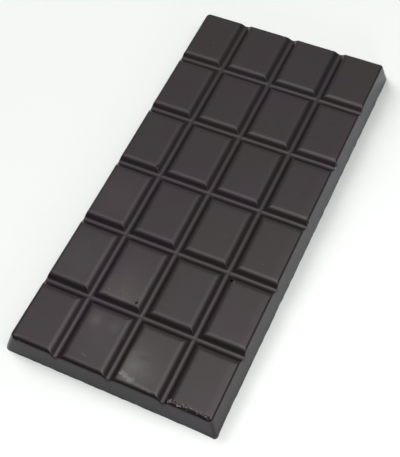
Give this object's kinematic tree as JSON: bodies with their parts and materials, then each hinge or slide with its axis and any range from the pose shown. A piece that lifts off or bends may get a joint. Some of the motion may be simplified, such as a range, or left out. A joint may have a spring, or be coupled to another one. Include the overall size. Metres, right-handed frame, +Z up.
{
  "type": "chocolate bar",
  "caption": "Whole uncut bar of moulded dark chocolate, scored into rectangular blocks by shallow grooves, with leaning side walls and a flat base.",
  "frame": {"origin": "middle of the flat base, at its bottom", "axes": "+Z up through the grooved face, +Y along the bar's length, +X across its width"},
  "size_m": [0.0738, 0.151, 0.0075],
  "materials": {
    "chocolate": null
  },
  "bodies": {
    "root": {"chocolate_bar": "chocolate"}
  },
  "joints": []
}
